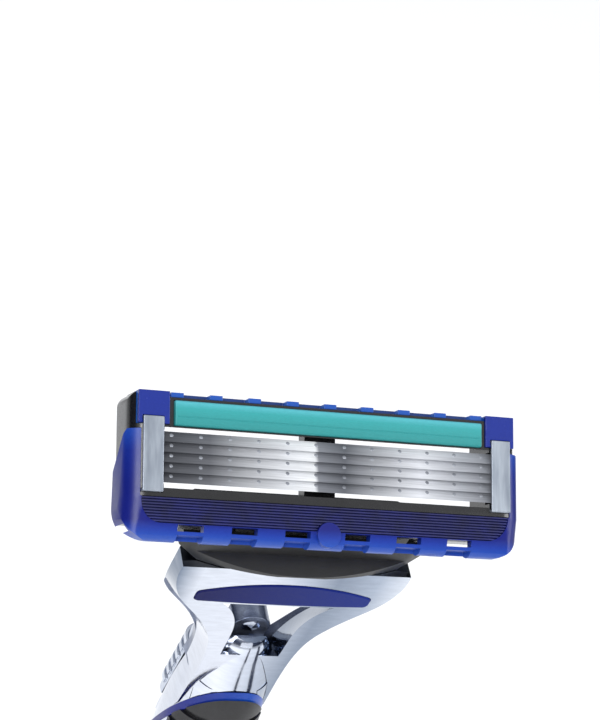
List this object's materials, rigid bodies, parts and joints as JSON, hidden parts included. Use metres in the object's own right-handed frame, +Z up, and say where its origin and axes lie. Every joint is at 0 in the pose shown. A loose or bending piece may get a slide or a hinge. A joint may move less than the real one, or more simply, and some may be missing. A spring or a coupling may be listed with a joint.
{
  "type": "cartridge razor",
  "caption": "Hand-held wet razor with a chrome forked neck, a rubber grip and a spring-returned, push-off blade cartridge.",
  "frame": {"origin": "on the handle's axis in the middle of the grip, where the hand holds it", "axes": "+Z up the handle towards the head, -Y the shaving side, +X along the blades"},
  "size_m": [0.0428, 0.0223, 0.1416],
  "materials": {
    "steel": "honed stainless blade steel",
    "support_steel": "formed stainless sheet",
    "clip_metal": "satin aluminium",
    "strip": "teal lubricating strip, satin",
    "housing": "moulded black plastic",
    "frame_blue": "moulded blue plastic",
    "fins": "soft navy elastomer",
    "comb_blue": "moulded blue plastic",
    "yoke_black": "moulded black plastic",
    "chrome": "polished chrome plate",
    "chrome_button": "chrome-plated plastic",
    "plate_blue": "bare blue inlay",
    "ring_blue": "blue trim",
    "grip_black": "ribbed black rubber",
    "pusher_grey": "moulded grey plastic",
    "spring_steel": "spring wire",
    "tail_chrome": "polished chrome plate"
  },
  "bodies": {
    "handle": {"handle_body": "chrome", "tail_cap": "tail_chrome", "front_grip": "grip_black", "back_grip": "grip_black", "trim_ring": "ring_blue", "neck_fork": "chrome", "neck_cover": "chrome", "front_plate": "plate_blue", "docking_head": "yoke_black", "lock_pin": "spring_steel", "plunger_spring": "spring_steel", "button_spring": "spring_steel"},
    "ejector": {"ejector_pusher": "pusher_grey", "eject_button": "chrome_button"},
    "plunger": {"plunger": "yoke_black"},
    "yoke": {"connecting_yoke": "yoke_black"},
    "cartridge": {"cartridge_housing": "housing", "guard_frame": "frame_blue", "guard_fins": "fins", "lubricating_strip": "strip", "trimmer_comb": "comb_blue", "trimmer_blade": "steel", "clip_left": "clip_metal", "clip_right": "clip_metal"},
    "blade_1": {"blade_1": "steel", "blade_support_1": "support_steel"},
    "blade_2": {"blade_2": "steel", "blade_support_2": "support_steel"},
    "blade_3": {"blade_3": "steel", "blade_support_3": "support_steel"},
    "blade_4": {"blade_4": "steel", "blade_support_4": "support_steel"},
    "blade_5": {"blade_5": "steel", "blade_support_5": "support_steel"}
  },
  "joints": [
    {"name": "cartridge_release", "type": "slide", "parent": "handle", "child": "yoke", "axis": [0, -0.2079, 0.9781], "range_m": [0, 0.014]},
    {"name": "cartridge_pivot", "type": "hinge", "parent": "yoke", "child": "cartridge", "pos_m": [0, -0.01093, 0.06704], "axis": [-1, 0, 0], "range_deg": [0, 40], "stiffness_Nm_per_rad": 0.01, "springref_deg": -20.05},
    {"name": "ejector_slide", "type": "slide", "parent": "handle", "child": "ejector", "axis": [0, -0.2079, 0.9781], "range_m": [0, 0.0035], "stiffness_N_per_m": 300, "springref_m": -0.001, "deforming": ["button_spring"]},
    {"name": "plunger_slide", "type": "slide", "parent": "handle", "child": "plunger", "axis": [0, 0.2079, -0.9781], "range_m": [0, 0.00101], "deforming": ["plunger_spring"]},
    {"name": "blade_1_float", "type": "slide", "parent": "cartridge", "child": "blade_1", "axis": [0, 0.6428, -0.766], "range_m": [0, 0.00025], "stiffness_N_per_m": 200, "springref_m": -0.0003},
    {"name": "blade_2_float", "type": "slide", "parent": "cartridge", "child": "blade_2", "axis": [0, 0.6428, -0.766], "range_m": [0, 0.00025], "stiffness_N_per_m": 200, "springref_m": -0.0003},
    {"name": "blade_3_float", "type": "slide", "parent": "cartridge", "child": "blade_3", "axis": [0, 0.6428, -0.766], "range_m": [0, 0.00025], "stiffness_N_per_m": 200, "springref_m": -0.0003},
    {"name": "blade_4_float", "type": "slide", "parent": "cartridge", "child": "blade_4", "axis": [0, 0.6428, -0.766], "range_m": [0, 0.00025], "stiffness_N_per_m": 200, "springref_m": -0.0003},
    {"name": "blade_5_float", "type": "slide", "parent": "cartridge", "child": "blade_5", "axis": [0, 0.6428, -0.766], "range_m": [0, 0.00025], "stiffness_N_per_m": 200, "springref_m": -0.0003}
  ],
  "couplings": [
    {"joint": "plunger_slide", "follows": "cartridge_pivot", "m_per_rad": 0.0014378}
  ]
}
